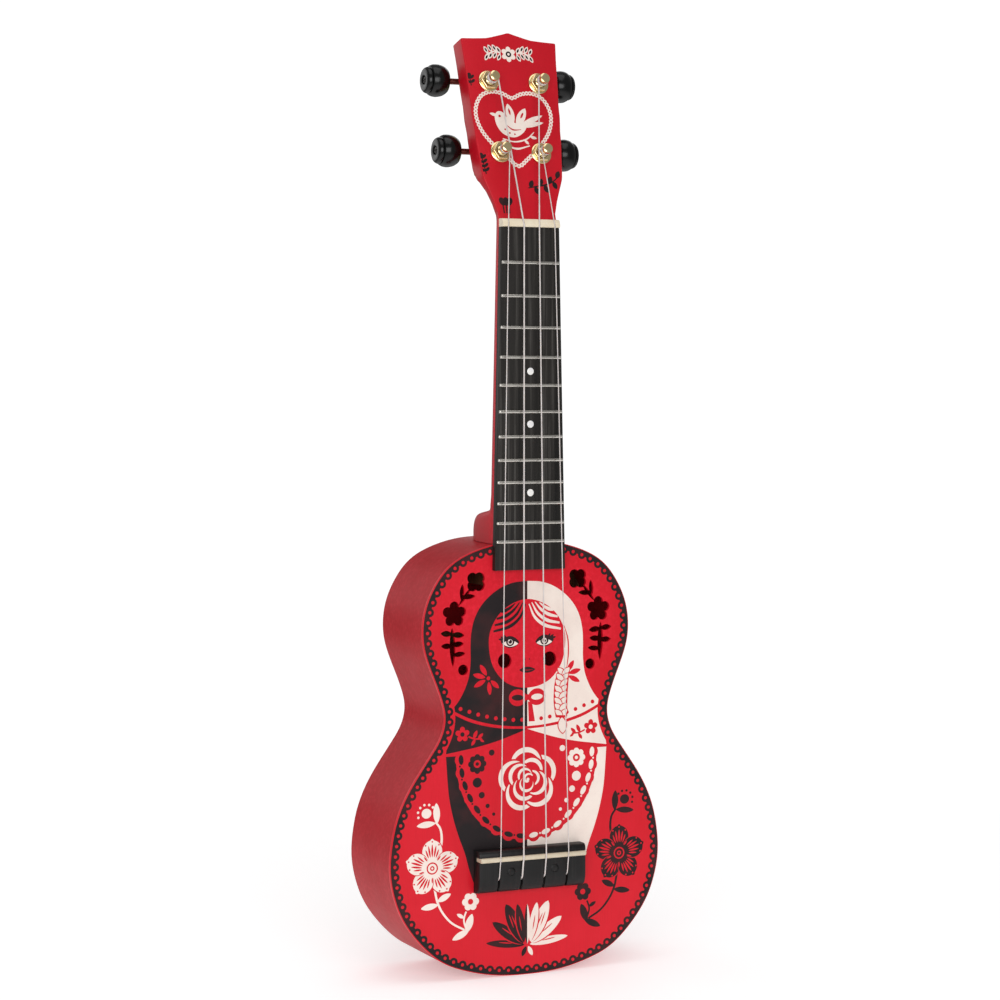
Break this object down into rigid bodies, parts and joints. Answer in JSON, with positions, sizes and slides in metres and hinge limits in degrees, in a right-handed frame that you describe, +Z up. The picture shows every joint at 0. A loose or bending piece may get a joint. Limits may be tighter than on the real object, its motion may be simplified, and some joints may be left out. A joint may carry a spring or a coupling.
{
  "type": "soprano ukulele",
  "caption": "Small figure-eight fretted instrument with nylon strings, slotted bridge, tilted headstock and geared side tuners whose knobs turn the string posts.",
  "frame": {"origin": "bottom centre of the bounding box, under the tail end", "axes": "+Z up the neck, +X right as seen from the front, front faces -Y"},
  "size_m": [0.1646, 0.0696, 0.5237],
  "materials": {
    "paint_front": "satin paint",
    "paint_side": "satin paint",
    "bare_wood": "raw",
    "dark_wood": "satin",
    "dark_plastic": "satin",
    "ivory_plastic": "polished",
    "pearl_plastic": "polished",
    "nylon": "translucent",
    "fret_metal": "polished",
    "gold_metal": "polished",
    "shaft_metal": "polished",
    "button_plastic": "gloss"
  },
  "bodies": {
    "root": {"soundboard": "paint_front", "back_plate": "paint_side", "rib_left": "paint_side", "rib_right": "paint_side", "neck_block": "bare_wood", "tail_block": "bare_wood", "lining_front_left": "bare_wood", "lining_front_right": "bare_wood", "lining_back_left": "bare_wood", "lining_back_right": "bare_wood", "brace_front_upper": "bare_wood", "brace_front_lower": "bare_wood", "brace_back_upper": "bare_wood", "brace_back_lower": "bare_wood", "bridge_plate": "bare_wood", "bridge": "dark_plastic", "saddle": "ivory_plastic", "neck": "paint_front", "neck_dowel": "bare_wood", "fingerboard": "dark_wood", "nut": "ivory_plastic", "fret_01": "fret_metal", "fret_02": "fret_metal", "fret_03": "fret_metal", "fret_04": "fret_metal", "fret_05": "fret_metal", "fret_06": "fret_metal", "fret_07": "fret_metal", "fret_08": "fret_metal", "fret_09": "fret_metal", "fret_10": "fret_metal", "fret_11": "fret_metal", "fret_12": "fret_metal", "marker_dot_05": "pearl_plastic", "marker_dot_07": "pearl_plastic", "marker_dot_10": "pearl_plastic", "string_1": "nylon", "string_2": "nylon", "string_3": "nylon", "string_4": "nylon", "tuner_bushing_1": "gold_metal", "tuner_housing_1": "gold_metal", "tuner_bushing_2": "gold_metal", "tuner_housing_2": "gold_metal", "tuner_bushing_3": "gold_metal", "tuner_housing_3": "gold_metal", "tuner_bushing_4": "gold_metal", "tuner_housing_4": "gold_metal"},
    "knob_1": {"tuner_shaft_1": "shaft_metal", "tuner_button_1": "button_plastic"},
    "post_1": {"tuner_post_1": "gold_metal"},
    "knob_2": {"tuner_shaft_2": "shaft_metal", "tuner_button_2": "button_plastic"},
    "post_2": {"tuner_post_2": "gold_metal"},
    "knob_3": {"tuner_shaft_3": "shaft_metal", "tuner_button_3": "button_plastic"},
    "post_3": {"tuner_post_3": "gold_metal"},
    "knob_4": {"tuner_shaft_4": "shaft_metal", "tuner_button_4": "button_plastic"},
    "post_4": {"tuner_post_4": "gold_metal"}
  },
  "joints": [
    {"name": "knob_spin_1", "type": "hinge", "parent": "root", "child": "knob_1", "pos_m": [-0.01235, 0.00527, 0.45728], "axis": [1, 0, 0], "continuous": true},
    {"name": "post_spin_1", "type": "hinge", "parent": "root", "child": "post_1", "pos_m": [-0.01235, -0.01469, 0.45577], "axis": [0, -0.9703, 0.2419], "continuous": true},
    {"name": "knob_spin_2", "type": "hinge", "parent": "root", "child": "knob_2", "pos_m": [-0.01515, 0.01514, 0.49687], "axis": [1, 0, 0], "continuous": true},
    {"name": "post_spin_2", "type": "hinge", "parent": "root", "child": "post_2", "pos_m": [-0.01515, -0.00482, 0.49535], "axis": [0, -0.9703, 0.2419], "continuous": true},
    {"name": "knob_spin_3", "type": "hinge", "parent": "root", "child": "knob_3", "pos_m": [0.01515, 0.01514, 0.49687], "axis": [1, 0, 0], "continuous": true},
    {"name": "post_spin_3", "type": "hinge", "parent": "root", "child": "post_3", "pos_m": [0.01515, -0.00482, 0.49535], "axis": [0, -0.9703, 0.2419], "continuous": true},
    {"name": "knob_spin_4", "type": "hinge", "parent": "root", "child": "knob_4", "pos_m": [0.01235, 0.00527, 0.45728], "axis": [1, 0, 0], "continuous": true},
    {"name": "post_spin_4", "type": "hinge", "parent": "root", "child": "post_4", "pos_m": [0.01235, -0.01469, 0.45577], "axis": [0, -0.9703, 0.2419], "continuous": true}
  ],
  "couplings": [
    {"joint": "post_spin_1", "follows": "knob_spin_1", "ratio": 0.071429},
    {"joint": "post_spin_2", "follows": "knob_spin_2", "ratio": 0.071429},
    {"joint": "post_spin_3", "follows": "knob_spin_3", "ratio": 0.071429},
    {"joint": "post_spin_4", "follows": "knob_spin_4", "ratio": 0.071429}
  ]
}
